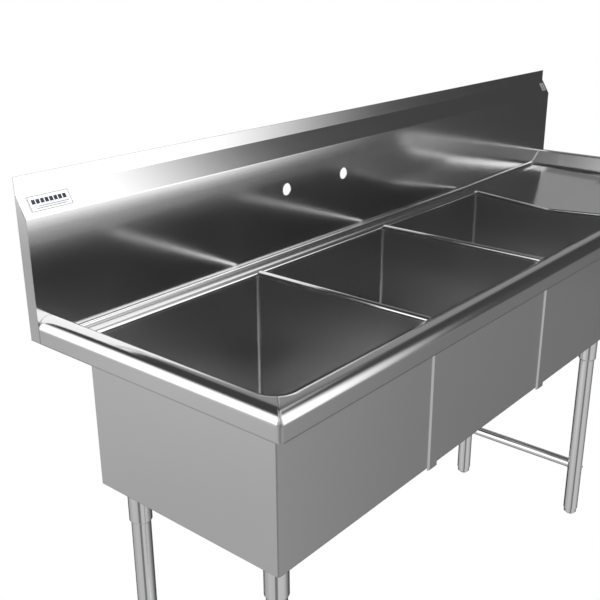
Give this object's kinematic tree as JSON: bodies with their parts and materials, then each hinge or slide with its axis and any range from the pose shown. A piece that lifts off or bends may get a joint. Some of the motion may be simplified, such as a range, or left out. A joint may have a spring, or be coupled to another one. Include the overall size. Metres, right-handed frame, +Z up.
{
  "type": "three compartment sink",
  "caption": "Free-standing stainless steel scullery sink: deep square bowls in a row, rolled rim, high backsplash, right-hand drainboard, tubular legs with adjustable feet.",
  "frame": {"origin": "on the floor, under the centre of the bounding box", "axes": "+X to the right along the row of bowls as seen from the front, +Y towards the wall, +Z up"},
  "size_m": [1.9178, 0.5794, 1.1585],
  "materials": {
    "splash_steel": "fine satin grain along the length",
    "rim_steel": "fine satin grain along each rim",
    "ledge_steel": "satin, ground flush at the welds",
    "bowl_steel": "satin grain, slightly duller than the rims",
    "board_steel": "satin grain along the length",
    "leg_steel": "polished tube, faint drawn lines",
    "foot_steel": "turned, semi-bright",
    "insert_plastic": "moulded, matt",
    "screw_steel": "zinc plated",
    "drain_chrome": "bright, slightly worn",
    "nut_brass": "cast and machined, dull",
    "gasket_rubber": "matt",
    "basket_steel": "pressed, semi-bright",
    "knob_plastic": "moulded, matt",
    "plate_white": "blank printed foil with a thin dark border"
  },
  "bodies": {
    "sink": {"backsplash": "splash_steel", "splash_end_cap_left": "splash_steel", "splash_end_cap_right": "splash_steel", "front_rim": "rim_steel", "left_rim": "rim_steel", "right_rim": "rim_steel", "rear_ledge": "ledge_steel", "divider_cap_1": "ledge_steel", "divider_cap_2": "ledge_steel", "bowl_left": "bowl_steel", "bowl_middle": "bowl_steel", "bowl_right": "bowl_steel", "front_joint_strip_1": "bowl_steel", "front_joint_strip_2": "bowl_steel", "rear_joint_strip_1": "bowl_steel", "rear_joint_strip_2": "bowl_steel", "drainboard": "board_steel", "drainboard_channel_front": "board_steel", "drainboard_channel_rear": "board_steel", "leg_socket_front_left": "leg_steel", "leg_socket_front_right": "leg_steel", "leg_socket_rear_left": "leg_steel", "leg_socket_rear_right": "leg_steel", "leg_tube_front_left": "leg_steel", "leg_tube_front_right": "leg_steel", "leg_tube_rear_left": "leg_steel", "leg_tube_rear_right": "leg_steel", "cross_brace_left": "leg_steel", "cross_brace_right": "leg_steel", "foot_inserts": "insert_plastic", "brace_screws": "screw_steel", "socket_set_screws": "screw_steel", "drain_body_left": "drain_chrome", "drain_body_middle": "drain_chrome", "drain_body_right": "drain_chrome", "drain_tailpiece_left": "drain_chrome", "drain_tailpiece_middle": "drain_chrome", "drain_tailpiece_right": "drain_chrome", "drain_locknut_left": "nut_brass", "drain_locknut_middle": "nut_brass", "drain_locknut_right": "nut_brass", "drain_coupling_nut_left": "nut_brass", "drain_coupling_nut_middle": "nut_brass", "drain_coupling_nut_right": "nut_brass", "drain_gasket_left": "gasket_rubber", "drain_gasket_middle": "gasket_rubber", "drain_gasket_right": "gasket_rubber", "rating_plate": "plate_white", "inspection_plate": "plate_white"},
    "foot_front_left": {"adjustable_foot_front_left": "foot_steel"},
    "foot_front_right": {"adjustable_foot_front_right": "foot_steel"},
    "foot_rear_left": {"adjustable_foot_rear_left": "foot_steel"},
    "foot_rear_right": {"adjustable_foot_rear_right": "foot_steel"},
    "basket_left": {"basket_cup_left": "basket_steel", "basket_knob_left": "knob_plastic"},
    "basket_middle": {"basket_cup_middle": "basket_steel", "basket_knob_middle": "knob_plastic"},
    "basket_right": {"basket_cup_right": "basket_steel", "basket_knob_right": "knob_plastic"}
  },
  "joints": [
    {"name": "foot_adjust_front_left", "type": "slide", "parent": "sink", "child": "foot_front_left", "axis": [0, 0, -1], "range_m": [0, 0.025]},
    {"name": "foot_adjust_front_right", "type": "slide", "parent": "sink", "child": "foot_front_right", "axis": [0, 0, -1], "range_m": [0, 0.025]},
    {"name": "foot_adjust_rear_left", "type": "slide", "parent": "sink", "child": "foot_rear_left", "axis": [0, 0, -1], "range_m": [0, 0.025]},
    {"name": "foot_adjust_rear_right", "type": "slide", "parent": "sink", "child": "foot_rear_right", "axis": [0, 0, -1], "range_m": [0, 0.025]},
    {"name": "basket_lift_left", "type": "slide", "parent": "sink", "child": "basket_left", "axis": [0, 0, 1], "range_m": [0, 0.42]},
    {"name": "basket_lift_middle", "type": "slide", "parent": "sink", "child": "basket_middle", "axis": [0, 0, 1], "range_m": [0, 0.42]},
    {"name": "basket_lift_right", "type": "slide", "parent": "sink", "child": "basket_right", "axis": [0, 0, 1], "range_m": [0, 0.42]}
  ]
}
